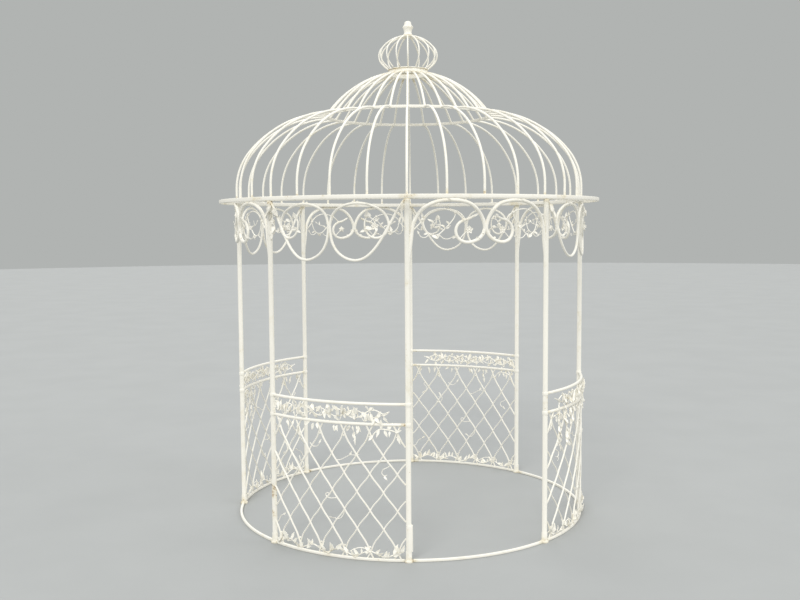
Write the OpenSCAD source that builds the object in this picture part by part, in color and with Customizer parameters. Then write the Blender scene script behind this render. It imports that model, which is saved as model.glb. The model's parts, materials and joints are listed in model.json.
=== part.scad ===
// Round wrought-iron garden gazebo: eight posts, lattice side panels between every other
// pair of posts, scrollwork under a ring, and a two-tier birdcage dome with an onion cage on top.
// Units are millimetres, Z is up, and the origin is on the ground under the middle.
// The front doorway faces -Y.

/* [Plan] */
// Radius of the circle through the post axes
post_circle = 1100; // [900:10:1300]
// Diameter of a post
post_d = 28; // [20:1:40]
// Height of the post heads, where the ring sits
post_top = 1966; // [1700:1:2200]

/* [Posts] */
// Diameter of the sleeve at the foot of a post
foot_sleeve_d = 34; // [28:1:50]
// Height of the sleeve
foot_sleeve_h = 58; // [30:1:120]
// Diameter of the flared foot on the ground
foot_d = 48; // [36:1:80]
// Height of the flare
foot_h = 14; // [6:1:30]

/* [Panels] */
// Height of the handrail above the ground, to its middle
rail_z = 866; // [700:1:1000]
// Distance from the handrail down to the second rail
rail_gap = 111; // [60:1:160]
// Thickness of both rails and of the bars on the ground
rail_t = 15; // [8:1:24]
// Distance from one lattice rod to the next, measured level
rod_pitch = 146; // [80:1:240]
// Height of one lattice diamond
diamond_h = 204; // [120:1:320]
// How far the lighter rods jog where they cross the heavier ones
rod_jog = 6; // [0:0.5:12]
// Width of the heavier lattice rods
rod_thick = 10; // [5:0.5:14]
// Width of the lighter lattice rods
rod_thin = 7.5; // [4:0.5:12]
// Height of the low vine above the ground
border_z = 38; // [25:1:80]

/* [Scrolls] */
// How far the scrollwork hangs down from the post heads
scroll_drop = 325; // [240:5:400]
// Width of the scroll bars under the ring
scroll_t = 13; // [8:0.5:20]
// Depth of the scroll bars, towards the middle
scroll_depth = 12; // [6:0.5:20]
// Width of the thin tendrils inside the scrolls
tendril_t = 7; // [4:0.5:10]
// Thickness of the leaves
leaf_t = 5; // [3:0.5:10]
// Length of a common leaf
leaf_l = 44; // [30:1:60]

/* [Ring] */
// How far the middle of the ring lies inside the post circle
ring_inset = 10; // [0:1:20]
// Width of the ring, towards the middle
ring_w = 30; // [20:1:50]
// Height of the ring
ring_h = 24; // [12:1:40]
// Radius of the wide hoop around the foot of the dome
brim_r = 1200; // [1140:5:1300]
// Thickness of that hoop
brim_t = 10; // [6:1:20]
// Height of that hoop
brim_h = 22; // [14:1:40]
// Width of the arms that carry the hoop
arm_w = 10; // [6:1:16]
// Height of the arms
arm_h = 12; // [6:1:20]
// Number of arms that carry the hoop
brim_arms = 16; // [8:8:32]

/* [Dome] */
// Diameter of the dome's ribs
rib_d = 14; // [8:0.5:20]
// Height of the straight foot of a rib
rib_straight = 64; // [30:1:200]
// Radius of the hoop between the two tiers
hoop_r = 521; // [400:1:700]
// Rise of the lower tier above the straight feet
lower_rise = 466; // [390:1:640]
// Radius of the tight shoulder bend
shoulder_r = 370; // [200:1:385]
// Radius of the upper tier's bend
upper_bend = 628; // [560:1:900]
// Height of the hoop between the tiers
hoop_h = 18; // [10:1:30]
// Thickness of the hoop between the tiers
hoop_t = 10; // [6:1:16]

/* [Crown] */
// Outer radius of the collar on top of the dome
collar_r = 124; // [90:1:160]
// Height of the collar
collar_h = 34; // [16:1:60]
// Wall of the collar
collar_t = 14; // [6:1:30]
// Largest radius of the onion cage, to the middle of its bars
cage_r = 185; // [140:1:240]
// Half of the height of the onion cage
cage_rise = 124; // [90:1:160]
// Radius of the tight bend where the onion cage is widest
cage_tight = 76; // [60:1:84]
// Diameter of the onion cage's bars
cage_bar_d = 9; // [5:0.5:12]
// Number of bars in the onion cage
cage_bars = 16; // [8:4:24]
// Height of the finial
finial_h = 90; // [60:1:140]

/* [Hidden] */

$fn = 96;
paint = [0.95, 0.93, 0.86];
paint_dark = [0.86, 0.83, 0.74];
// Clearance between pieces that only touch
seat = 0.3;
// Half of the angle between two neighbouring posts
half_bay = 22.5;
// Half of the clear width between two post axes, measured straight across
half_span = post_circle * sin(half_bay);
low_rail_z = rail_z - rail_gap;
ring_top = post_top + ring_h;
ring_in = post_circle - ring_inset - ring_w / 2;
ring_out = ring_in + ring_w;
// Radius on which the ribs stand
rib_circle = post_circle - ring_inset;
// Height at which the shoulder bend starts
bend_z = ring_top + rib_straight;
hoop_z = bend_z + lower_rise;
// Three-centred arch of the lower tier: a tight bend at the shoulder, then a flat one
lower_run = rib_circle - hoop_r;
flat_r = flat_radius(lower_run, lower_rise, shoulder_r);
shoulder_turn = join_angle(lower_run, lower_rise, shoulder_r);
// Upper tier: one bend around a point on the axis
upper_z = hoop_z - sqrt(pow(upper_bend, 2) - pow(hoop_r, 2));
upper_low = acos(hoop_r / upper_bend);
rib_end_r = collar_r - 4;
upper_high = acos(rib_end_r / upper_bend);
collar_z = upper_z + upper_bend * sin(upper_high) - 12;
collar_top = collar_z + collar_h;
// Onion cage: its bars are three-centred as well
cage_z = collar_top + cage_rise * 0.742;
cage_turn = join_angle(cage_r, cage_rise, cage_tight);
cage_flat = flat_radius(cage_r, cage_rise, cage_tight);
cage_top = cage_z + cage_rise;

// Half span, head height and drop for which the scrolls and vines are drawn
drawn_span = 421;
drawn_head = 1966;
drawn_drop = 325;
// Spread and depth of the drawings on a bay of this size
wide = half_span / drawn_span;
deep = scroll_drop / drawn_drop;

// Point of a drawing, fitted to the bay and hung from the post heads
function fitted(q) = [q[0] * wide, post_top + (q[1] - drawn_head) * deep];
function fitted_path(p) = [for (q = p) fitted(q)];

// Radius of the flat bend that meets a tight bend smoothly, for a run and a rise
function flat_radius(run, rise, tight) =
    (pow(run - tight, 2) + pow(rise, 2) - pow(tight, 2)) / (2 * (rise - tight));
// Angle at which the two bends meet
function join_angle(run, rise, tight) =
    atan2(flat_radius(run, rise, tight) - rise, run - tight);

// Point of a smooth curve through four points
function between(a, b, c, d, t) =
    0.5 * (2 * b + (c - a) * t + (2 * a - 5 * b + 4 * c - d) * t * t
    + (3 * b - 3 * c + d - a) * t * t * t);
// Smooth curve through a list of points, with n steps between neighbours
function smooth(p, n) = concat(
    [for (i = [0 : len(p) - 2])
        for (k = [0 : n - 1])
            between(p[max(i - 1, 0)], p[i], p[i + 1], p[min(i + 2, len(p) - 1)], k / n)],
    [p[len(p) - 1]]);
// Direction across a path at one of its points
function across(p, i) =
    let (d = p[min(i + 1, len(p) - 1)] - p[max(i - 1, 0)])
    [-d[1], d[0]] / norm(d);
// Width of a bar at one of its points, with a tapered end
function taper(i, n, w, tip) =
    i > n * 0.8 ? w + (tip - w) * (i - n * 0.8) / (n * 0.2) : w;

// A flat bar that follows a path and narrows to the tip at its far end
module bar(p, w, tip) {
    n = len(p) - 1;
    left = [for (i = [0 : n]) p[i] + across(p, i) * taper(i, n, w, tip) / 2];
    right = [for (i = [n : -1 : 0]) p[i] - across(p, i) * taper(i, n, w, tip) / 2];
    polygon(concat(left, right));
}

// A pointed leaf that starts at the origin and points along +X
module leaf(length, width) {
    l = length * leaf_l / 44;
    w = width * leaf_l / 44;
    polygon([
        [0, -w * 0.07], [l * 0.2, -w * 0.36], [l * 0.42, -w * 0.5], [l * 0.68, -w * 0.36],
        [l, 0],
        [l * 0.68, w * 0.36], [l * 0.42, w * 0.5], [l * 0.2, w * 0.36], [0, w * 0.07]
    ]);
}

// A leaf at a point of a scroll drawing
module scroll_leaf(x, z, heading, length, width) {
    translate(fitted([x, z]))
        rotate(heading)
            leaf(length, width);
}

// Turns a flat drawing, X across and Y up, into ironwork that is bent to the post circle
module bent(depth, low, high) {
    intersection() {
        rotate([90, 0, 0])
            linear_extrude(height = post_circle * 1.1)
                children();
        translate([0, 0, low])
            difference() {
                cylinder(r = post_circle + depth / 2, h = high - low);
                translate([0, 0, -1])
                    cylinder(r = post_circle - depth / 2, h = high - low + 2);
            }
    }
}

// Clears the two posts beside a bay
module between_posts(clear_d) {
    difference() {
        children();
        for (side = [-1, 1])
            rotate([0, 0, side * half_bay])
                translate([0, -post_circle, -1])
                    cylinder(d = clear_d + 2 * seat, h = post_top + 2);
    }
}

// A curved bar on the post circle, across one bay
module bay_bar(low, high, depth) {
    translate([0, 0, low])
        rotate([0, 0, -90 - half_bay])
            rotate_extrude(angle = 2 * half_bay)
                translate([post_circle - depth / 2, 0])
                    square([depth, high - low]);
}

module post() {
    translate([0, -post_circle, 0]) {
        cylinder(d = post_d, h = post_top);
        cylinder(d = foot_sleeve_d, h = foot_sleeve_h);
        cylinder(d1 = foot_d, d2 = foot_sleeve_d, h = foot_h);
    }
}

module sill() {
    difference() {
        between_posts(foot_sleeve_d)
            bay_bar(0, rail_t, rail_t);
        for (side = [-1, 1])
            rotate([0, 0, side * half_bay])
                translate([0, -post_circle, -seat])
                    cylinder(d1 = foot_d + 2 * seat, d2 = foot_sleeve_d + 2 * seat, h = foot_h + 2 * seat);
    }
}

// Sideways reach of a rod at a height v above the lattice's middle: steeper near both rails
function rod_lean(v) =
    v * rod_pitch / diamond_h
    - sign(v) * pow(max(0, abs(v) - diamond_h * 0.98), 2) * 0.204 / diamond_h;

// One set of lattice rods, leaning to one side, with a jog where the other set crosses
module rods(lean, w, jog) {
    mid = (low_rail_z + rail_t / 2) / 2;
    reach = mid - rail_t / 4;
    step = diamond_h / 2 / 3;
    n = ceil(reach / step);
    count = floor((half_span + reach * rod_pitch / diamond_h) / rod_pitch);
    for (i = [-count : count]) {
        path = [for (k = [-n : n])
            [i * rod_pitch + lean * (rod_lean(k * step) - jog * sin(720 * k * step / diamond_h)),
            mid + k * step]];
        bar(path, w, w);
    }
}

module lattice_drawing() {
    intersection() {
        union() {
            rods(1, rod_thin, rod_jog);
            rods(-1, rod_thick, 1.5);
        }
        translate([-half_span, rail_t / 2])
            square([2 * half_span, low_rail_z - rail_t / 2]);
    }
}

// Height of the vine's stem between the two rails
function vine_z(x) =
    (rail_z + low_rail_z) / 2 + (rail_gap - rail_t) * 0.24 * sin(x * 1.7 + 40);

// Wavy stem with leaves between the two rails. It stops short of one post
module vine_drawing() {
    stem = [for (x = [-400 : 20 : 280]) [x * wide, vine_z(x)]];
    bar(stem, tendril_t, tendril_t * 0.6);
    for (k = [0 : 17]) {
        x = -392 + k * 38;
        side = k % 2 == 0 ? 1 : -1;
        translate([x * wide, vine_z(x)])
            rotate(side * (48 + 14 * sin(k * 77)) + (k % 3 == 0 ? 40 * side : 0))
                leaf(40 + 7 * sin(k * 131), 24);
    }
}

// Height of the low vine's stem
function low_vine_z(x) = border_z * (1 + 0.4 * sin(x * 2.1));

// Low stem with leaves along the bar on the ground
module border_drawing() {
    stem = [for (x = [-395 : 20 : 385]) [x * wide, low_vine_z(x)]];
    bar(stem, tendril_t, tendril_t * 0.6);
    for (k = [0 : 13]) {
        x = -380 + k * 56;
        side = k % 2 == 0 ? 1 : -1;
        translate([x * wide, low_vine_z(x)])
            rotate(side * 62 + 10 * sin(k * 60))
                leaf(side > 0 ? 52 : 34, 24);
    }
}

module lattice() {
    between_posts(post_d) {
        bay_bar(rail_z - rail_t / 2, rail_z + rail_t / 2, rail_t);
        bay_bar(low_rail_z - rail_t / 2, low_rail_z + rail_t / 2, rail_t);
    }
    sill();
    between_posts(foot_sleeve_d)
        bent(rod_thick, 2, low_rail_z)
            lattice_drawing();
    between_posts(foot_sleeve_d)
        bent(leaf_t, 4, rail_z) {
            intersection() {
                vine_drawing();
                translate([-half_span, low_rail_z])
                    square([2 * half_span, rail_gap]);
            }
            border_drawing();
        }
}

module mirrored_lattice() {
    mirror([1, 0, 0])
        lattice();
}

// Half of the scrollwork over a doorway: one bar from the post to the spiral,
// a thin bar inside it and a looping tendril
module arch_half() {
    leg = half_span - post_d / 2 - scroll_t / 2 - seat;
    top = post_top - scroll_t / 2 - seat;
    bow = concat(
        [[leg, fitted([0, 1700])[1]], [leg, fitted([0, 1775])[1]]],
        fitted_path([[389, 1838], [366, 1884], [336, 1918], [292, 1943], [245, 1956]]),
        [[195 * wide, top]],
        fitted_path([[140, 1955], [88, 1940], [48, 1908], [22, 1870], [8, 1835], [5, 1806], [18, 1774],
            [50, 1746], [105, 1733], [150, 1749], [170, 1790], [158, 1830], [126, 1851], [96, 1860],
            [72, 1872]]));
    bar(smooth(bow, 2), scroll_t, scroll_t * 0.54);
    inner = concat(
        [[leg - 6, fitted([0, 1796])[1]]],
        fitted_path([[353, 1842], [333, 1873], [299, 1900], [256, 1912], [213, 1908], [169, 1892],
            [141, 1870], [128, 1851]]));
    bar(smooth(inner, 2), tendril_t * 1.14, tendril_t);
    loop = fitted_path([[345, 1856], [338, 1825], [325, 1794], [297, 1772], [262, 1778], [235, 1801],
        [202, 1835], [178, 1868], [172, 1893]]);
    bar(smooth(loop, 2), tendril_t, tendril_t);
    scroll_leaf(300, 1773, -150, 44, 20);
    scroll_leaf(262, 1778, -60, 38, 18);
    scroll_leaf(228, 1808, 150, 40, 18);
    scroll_leaf(74, 1871, 150, 34, 20);
}

module arch() {
    between_posts(post_d)
        bent(scroll_depth, post_top - scroll_drop - 40, post_top - seat)
            union() {
                arch_half();
                mirror([1, 0])
                    arch_half();
            }
}

// Half of the scrollwork over a lattice panel: a hanging loop and an oval that rolls in
module swag_half() {
    arm = fitted_path([[409, 1959], [372, 1905], [345, 1852], [312, 1792], [282, 1740], [246, 1692],
        [204, 1656], [160, 1641], [118, 1645], [75, 1664], [40, 1696], [17, 1740], [7, 1790],
        [4, 1834]]);
    bar(smooth(arm, 2), scroll_t, scroll_t);
    oval = fitted_path([[4, 1826], [16, 1874], [40, 1906], [75, 1928], [118, 1942], [165, 1946],
        [211, 1941], [261, 1924], [303, 1895], [324, 1860], [330, 1829], [322, 1798], [298, 1770],
        [263, 1760], [228, 1773], [207, 1805], [203, 1841], [211, 1870]]);
    bar(smooth(oval, 2), scroll_t, scroll_t * 0.54);
    scroll_leaf(211, 1868, 70, 42, 24);
    scroll_leaf(205, 1815, -10, 46, 22);
    scroll_leaf(398, 1944, -95, 70, 30);
    scroll_leaf(386, 1925, -125, 60, 24);
}

module swag() {
    between_posts(post_d)
        bent(scroll_depth, post_top - scroll_drop - 40, post_top - seat)
            union() {
                swag_half();
                mirror([1, 0])
                    swag_half();
            }
}

// Part of a round bar that is bent around a point, in the plane through the axis
module bend(x, z, r, from, to, d) {
    translate([x, 0, z])
        rotate([90, 0, 0])
            rotate([0, 0, from])
                rotate_extrude(angle = to - from)
                    translate([r, 0])
                        circle(d = d);
}

// One whole rib, from the ring to the collar, along +X
module rib() {
    difference() {
        union() {
            translate([rib_circle, 0, ring_top])
                cylinder(d = rib_d, h = rib_straight);
            bend(rib_circle - shoulder_r, bend_z, shoulder_r, 0, shoulder_turn, rib_d);
            bend(hoop_r, hoop_z - flat_r, flat_r, shoulder_turn, 90, rib_d);
            bend(0, upper_z, upper_bend, upper_low, upper_high, rib_d);
            translate([hoop_r, 0, hoop_z - hoop_h / 2 - 1])
                cylinder(d = rib_d + 3, h = hoop_h + 2);
            // Weld where the two bends of the lower tier meet
            translate([rib_circle - shoulder_r * (1 - cos(shoulder_turn)), 0,
                bend_z + shoulder_r * sin(shoulder_turn)])
                rotate([0, -shoulder_turn, 0])
                    cylinder(d = rib_d + 2, h = 12, center = true);
        }
        translate([0, 0, collar_z - 40])
            cylinder(r = collar_r + seat, h = 100);
    }
}

// The three ribs between two post ribs, with the part of the hoop that joins them
module dome_bay() {
    for (i = [-1 : 1])
        rotate([0, 0, -90 + i * half_bay / 2])
            rib();
    gap = asin((rib_d / 2 + seat) / hoop_r);
    translate([0, 0, hoop_z - hoop_h / 2])
        rotate([0, 0, -90 - half_bay + gap])
            rotate_extrude(angle = 2 * (half_bay - gap))
                translate([hoop_r - hoop_t / 2, 0])
                    square([hoop_t, hoop_h]);
}

module hoop(r_in, r_out, low, high) {
    translate([0, 0, low])
        rotate_extrude()
            translate([r_in, 0])
                square([r_out - r_in, high - low]);
}

module post_rib() {
    rotate([0, 0, -90])
        rib();
}

module post_front_left() {
    color(paint)
        rotate([0, 0, -22.5])
            post();
}

module post_front_right() {
    color(paint)
        rotate([0, 0, 22.5])
            post();
}

module post_right_front() {
    color(paint)
        rotate([0, 0, 67.5])
            post();
}

module post_right_back() {
    color(paint)
        rotate([0, 0, 112.5])
            post();
}

module post_back_right() {
    color(paint)
        rotate([0, 0, 157.5])
            post();
}

module post_back_left() {
    color(paint)
        rotate([0, 0, 202.5])
            post();
}

module post_left_back() {
    color(paint)
        rotate([0, 0, 247.5])
            post();
}

module post_left_front() {
    color(paint)
        rotate([0, 0, 292.5])
            post();
}

module lattice_front_right() {
    color(paint)
        rotate([0, 0, 45])
            mirrored_lattice();
}

module lattice_back_right() {
    color(paint)
        rotate([0, 0, 135])
            mirrored_lattice();
}

module lattice_back_left() {
    color(paint)
        rotate([0, 0, 225])
            lattice();
}

module lattice_front_left() {
    color(paint)
        rotate([0, 0, 315])
            lattice();
}

module sill_front() {
    color(paint)
        rotate([0, 0, 0])
            sill();
}

module sill_right() {
    color(paint)
        rotate([0, 0, 90])
            sill();
}

module sill_back() {
    color(paint)
        rotate([0, 0, 180])
            sill();
}

module sill_left() {
    color(paint)
        rotate([0, 0, 270])
            sill();
}

module arch_front() {
    color(paint_dark)
        rotate([0, 0, 0])
            arch();
}

module arch_right() {
    color(paint_dark)
        rotate([0, 0, 90])
            arch();
}

module arch_back() {
    color(paint_dark)
        rotate([0, 0, 180])
            arch();
}

module arch_left() {
    color(paint_dark)
        rotate([0, 0, 270])
            arch();
}

module swag_front_right() {
    color(paint_dark)
        rotate([0, 0, 45])
            swag();
}

module swag_back_right() {
    color(paint_dark)
        rotate([0, 0, 135])
            swag();
}

module swag_back_left() {
    color(paint_dark)
        rotate([0, 0, 225])
            swag();
}

module swag_front_left() {
    color(paint_dark)
        rotate([0, 0, 315])
            swag();
}

module ring() {
    color(paint)
        hoop(ring_in, ring_out, post_top, ring_top);
}

module brim() {
    color(paint) {
        hoop(brim_r - brim_t, brim_r, post_top + 1, post_top + 1 + brim_h);
        difference() {
            for (i = [0 : brim_arms - 1])
                rotate([0, 0, 360 / brim_arms * (i + 0.5)])
                    translate([ring_in, -arm_w / 2, post_top + (ring_h - arm_h) / 2])
                        cube([brim_r - brim_t / 2 - ring_in, arm_w, arm_h]);
            translate([0, 0, post_top - 1])
                cylinder(r = ring_out + seat, h = ring_h + 2);
        }
    }
}

module rib_front_left() {
    color(paint)
        rotate([0, 0, -22.5])
            post_rib();
}

module rib_front_right() {
    color(paint)
        rotate([0, 0, 22.5])
            post_rib();
}

module rib_right_front() {
    color(paint)
        rotate([0, 0, 67.5])
            post_rib();
}

module rib_right_back() {
    color(paint)
        rotate([0, 0, 112.5])
            post_rib();
}

module rib_back_right() {
    color(paint)
        rotate([0, 0, 157.5])
            post_rib();
}

module rib_back_left() {
    color(paint)
        rotate([0, 0, 202.5])
            post_rib();
}

module rib_left_back() {
    color(paint)
        rotate([0, 0, 247.5])
            post_rib();
}

module rib_left_front() {
    color(paint)
        rotate([0, 0, 292.5])
            post_rib();
}

module dome_front() {
    color(paint)
        rotate([0, 0, 0])
            dome_bay();
}

module dome_front_right() {
    color(paint)
        rotate([0, 0, 45])
            dome_bay();
}

module dome_right() {
    color(paint)
        rotate([0, 0, 90])
            dome_bay();
}

module dome_back_right() {
    color(paint)
        rotate([0, 0, 135])
            dome_bay();
}

module dome_back() {
    color(paint)
        rotate([0, 0, 180])
            dome_bay();
}

module dome_back_left() {
    color(paint)
        rotate([0, 0, 225])
            dome_bay();
}

module dome_left() {
    color(paint)
        rotate([0, 0, 270])
            dome_bay();
}

module dome_front_left() {
    color(paint)
        rotate([0, 0, 315])
            dome_bay();
}

module collar() {
    color(paint)
        hoop(collar_r - collar_t, collar_r, collar_z, collar_top);
}

// Sixteen bent bars between the collar and a small cap
module onion_cage() {
    color(paint) {
        difference() {
            for (i = [0 : cage_bars - 1])
                rotate([0, 0, 360 / cage_bars * i]) {
                    bend(0, cage_z - cage_rise + cage_flat, cage_flat, -80, -cage_turn, cage_bar_d);
                    bend(cage_r - cage_tight, cage_z, cage_tight, -cage_turn, cage_turn, cage_bar_d);
                    bend(0, cage_top - cage_flat, cage_flat, cage_turn, 84, cage_bar_d);
                }
            translate([0, 0, cage_z - cage_rise - 40])
                cylinder(r = cage_r, h = collar_top + seat - cage_z + cage_rise + 40);
        }
        hoop(collar_r - collar_t - 8, collar_r + 4, collar_top, collar_top + 7);
        translate([0, 0, cage_top - 8])
            cylinder(r = 32, h = 12);
    }
}

module finial() {
    profile = [
        [0, 0], [31, 0], [30, 5], [25, 9], [24, 26], [28, 38], [36, 50], [36, 55], [25, 62], [22, 70],
        [21, 80], [12, 87], [0, 90]
    ];
    color(paint)
        translate([0, 0, cage_top + 4])
            rotate_extrude()
                polygon(profile * finial_h / 90);
}

post_front_left();
post_front_right();
post_right_front();
post_right_back();
post_back_right();
post_back_left();
post_left_back();
post_left_front();
lattice_front_right();
lattice_back_right();
lattice_back_left();
lattice_front_left();
sill_front();
sill_right();
sill_back();
sill_left();
arch_front();
arch_right();
arch_back();
arch_left();
swag_front_right();
swag_back_right();
swag_back_left();
swag_front_left();
ring();
brim();
rib_front_left();
rib_front_right();
rib_right_front();
rib_right_back();
rib_back_right();
rib_back_left();
rib_left_back();
rib_left_front();
dome_front();
dome_front_right();
dome_right();
dome_back_right();
dome_back();
dome_back_left();
dome_left();
dome_front_left();
collar();
onion_cage();
finial();
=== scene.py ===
"""Round ironwork, leaves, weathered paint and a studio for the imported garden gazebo."""

import json
import math
import random

import bpy
from bpy.props import FloatProperty, FloatVectorProperty, IntProperty, PointerProperty
from mathutils import Matrix, Vector


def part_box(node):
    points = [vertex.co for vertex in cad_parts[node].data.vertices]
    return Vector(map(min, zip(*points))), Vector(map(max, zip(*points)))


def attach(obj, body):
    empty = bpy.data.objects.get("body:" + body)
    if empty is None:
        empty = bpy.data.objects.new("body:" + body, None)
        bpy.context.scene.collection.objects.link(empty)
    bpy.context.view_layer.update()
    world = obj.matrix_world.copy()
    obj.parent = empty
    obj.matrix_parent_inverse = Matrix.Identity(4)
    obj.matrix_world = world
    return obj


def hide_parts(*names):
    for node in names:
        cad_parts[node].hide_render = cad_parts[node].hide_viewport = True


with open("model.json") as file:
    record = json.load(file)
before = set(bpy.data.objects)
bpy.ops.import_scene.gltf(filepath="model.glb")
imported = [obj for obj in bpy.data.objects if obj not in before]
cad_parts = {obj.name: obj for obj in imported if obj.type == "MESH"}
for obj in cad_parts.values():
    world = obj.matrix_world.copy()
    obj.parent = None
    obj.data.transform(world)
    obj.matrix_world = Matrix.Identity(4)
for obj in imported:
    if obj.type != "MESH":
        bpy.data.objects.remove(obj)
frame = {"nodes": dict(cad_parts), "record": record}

bl_info = {
    "name": "Birdcage Garden Gazebo",
    "version": (1, 0, 0),
    "blender": (4, 5, 0),
    "location": "View3D > Sidebar > Gazebo",
    "description": "Builds the ironwork, leaves and finish of a round garden gazebo",
    "category": "Add Mesh",
}

# Plan of the frame, in metres, as in the solids
POST_CIRCLE = 1.100
HALF_BAY = math.radians(22.5)
HALF_SPAN = POST_CIRCLE * math.sin(HALF_BAY)
POST_R = 0.014
POST_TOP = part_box("ring")[0][2]
RING_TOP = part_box("ring")[1][2]
RING_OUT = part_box("ring")[1][0]
BRIM_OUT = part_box("brim")[1][0]
RAIL_Z = 0.866
LOW_RAIL_Z = 0.755
RAIL_R = 0.0075
ROD_PITCH = 0.146
DIAMOND_H = 0.204
LATTICE_MID = (LOW_RAIL_Z + RAIL_R) / 2
GROUND_BAR = 0.015
RIB_CIRCLE = POST_CIRCLE - 0.010
RIB_STRAIGHT = 0.064
HOOP_R = 0.521
HOOP_H = 0.018
LOWER_RISE = 0.466
SHOULDER_R = 0.370
UPPER_BEND = 0.628
COLLAR_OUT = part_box("collar")[1][0]
COLLAR_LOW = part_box("collar")[0][2]
COLLAR_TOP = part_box("collar")[1][2]
CAGE_R = 0.185
CAGE_RISE = 0.124
CAGE_TIGHT = 0.076
CAGE_Z = COLLAR_TOP + 0.092
CAGE_TOP = CAGE_Z + CAGE_RISE
BEND_Z = RING_TOP + RIB_STRAIGHT
HOOP_Z = BEND_Z + LOWER_RISE

# Small round parts, in metres; a screw head stands a share further out than its post
POST_TUBE_R = 0.0146
CLAMP_R = 0.0170
RAIL_TUBE_R = RAIL_R * 1.18
TWIG_R = (0.0026, 0.0018)
SCREW_R = 0.0042
SCREW_Z = 0.040
SCREW_OUT = 1.0125
ARM_R = 0.0056
ROD_WELD_R = 0.0056
RING_WELD_R = 0.0098
RIB_WELD_R = 0.0098
BEAD_FLAT = 0.45
BAR_CORNER = 0.003
THIN_CORNER = 0.0025
POST_CLEAR = 0.0245
RIB_CLEAR = 0.0073
ROUND_STEPS = 192

# Jogs and steps of the lattice rods, and how far a bay's layers lie outside the post circle, in metres
THICK_JOG = 0.0015
THIN_JOG = 0.0028
ROD_STEP = 0.0086
ROD_STEPS = 44
WELD_MARGIN = 0.03
THICK_LAYER = 0.0012
THIN_LAYER = -0.0022
WELD_LAYER = -0.0004
CURL_LAYER = -0.002
STEM_LAYER = 0.002
TWIG_LAYER = 0.003
LEAF_LAYER = 0.004

# Turn of each bay and post around the middle, in degrees from the front doorway towards the right
DOORWAYS = {"front": 0, "right": 90, "back": 180, "left": 270}
PANELS = {"front_right": 45, "back_right": 135, "back_left": 225, "front_left": 315}
POSTS = {
    "front_left": -22.5, "front_right": 22.5, "right_front": 67.5, "right_back": 112.5,
    "back_right": 157.5, "back_left": 202.5, "left_back": 247.5, "left_front": 292.5,
}
DOME_BAYS = dict(sorted({**DOORWAYS, **PANELS}.items(), key=lambda bay: bay[1]))
RIBS = 32
RIB_STEP = 360 / RIBS
BRIM_ARMS = 16
CAGE_BARS = 16

# Outlines of turned pieces, as radius and height from the bottom up
POST_PROFILE = [(0.0235, 0.0), (0.0240, 0.002), (0.0236, 0.008), (0.0185, 0.014), (0.0170, 0.018),
    (0.0168, 0.054), (0.0164, 0.058), (0.0149, 0.0585), (POST_TUBE_R, 0.060), (POST_TUBE_R, 0.30),
    (POST_TUBE_R, 0.60), (POST_TUBE_R, 1.20), (POST_TUBE_R, POST_TOP - 0.012), (0.0157, POST_TOP - 0.009),
    (0.0162, POST_TOP - 0.003), (0.0150, POST_TOP)]
CLAMP_PROFILE = [(POST_TUBE_R, -0.012), (0.0162, -0.010), (CLAMP_R, -0.006), (CLAMP_R, 0.006),
    (0.0162, 0.010), (POST_TUBE_R, 0.012)]
SPLICE_PROFILE = [(0.0140, 0.058), (0.0178, 0.0585), (0.0182, 0.062), (0.0182, 0.196), (0.0174, 0.203),
    (0.0141, 0.206)]
SPLICE_ASIDE = (0.0042, -0.0017)
CAP_PROFILE = [(0.028, -0.008), (0.032, -0.005), (0.032, 0.0), (0.029, 0.004), (0.010, 0.0041)]
FINIAL_PROFILE = [(0.0310, 0), (0.0310, 0.003), (0.0290, 0.0055), (0.0254, 0.009), (0.0243, 0.014),
    (0.0243, 0.024), (0.0262, 0.032), (0.0292, 0.040), (0.0325, 0.046), (0.0330, 0.051), (0.0300, 0.056),
    (0.0258, 0.0612), (0.0232, 0.066), (0.0222, 0.071), (0.0212, 0.079), (0.0185, 0.0835), (0.0125, 0.087),
    (0.0050, 0.0895), (0.0010, 0.0900)]

# Drawings on a bay, as x from its middle and z, for the right half where a doorway or a panel has two
CURLS = [
    [(0.071, 0.274), (0.066, 0.248), (0.050, 0.226), (0.030, 0.217), (0.010, 0.222)],
    [(0.033, 0.336), (0.012, 0.333), (-0.012, 0.329), (-0.034, 0.334), (-0.043, 0.346), (-0.035, 0.357),
     (-0.021, 0.353), (-0.020, 0.343)],
    [(0.026, 0.547), (0.052, 0.551), (0.080, 0.566), (0.106, 0.579), (0.134, 0.582)],
    [(-0.404, 0.126), (-0.386, 0.138), (-0.376, 0.158), (-0.362, 0.174), (-0.346, 0.182)],
    [(-0.236, 0.478), (-0.214, 0.470), (-0.196, 0.482), (-0.190, 0.505), (-0.204, 0.520), (-0.216, 0.510)],
    [(0.329, 0.533), (0.312, 0.520), (0.290, 0.508), (0.283, 0.488), (0.296, 0.474), (0.311, 0.480)],
    [(-0.142, 0.627), (-0.122, 0.610), (-0.096, 0.612), (-0.078, 0.628)],
    [(-0.316, 0.622), (-0.327, 0.610), (-0.312, 0.592), (-0.308, 0.568), (-0.322, 0.552)],
]
VINE_LOOP = [(0.104, 0.044), (0.130, 0.060), (0.162, 0.070), (0.196, 0.066), (0.214, 0.050), (0.196, 0.036)]
SPRAY_TWIG = [(0.234, 0.688), (0.254, 0.716), (0.279, 0.731), (0.308, 0.729), (0.338, 0.724),
    (0.364, 0.710), (0.372, 0.676)]
LEG = HALF_SPAN - POST_R - 0.0068
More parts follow.
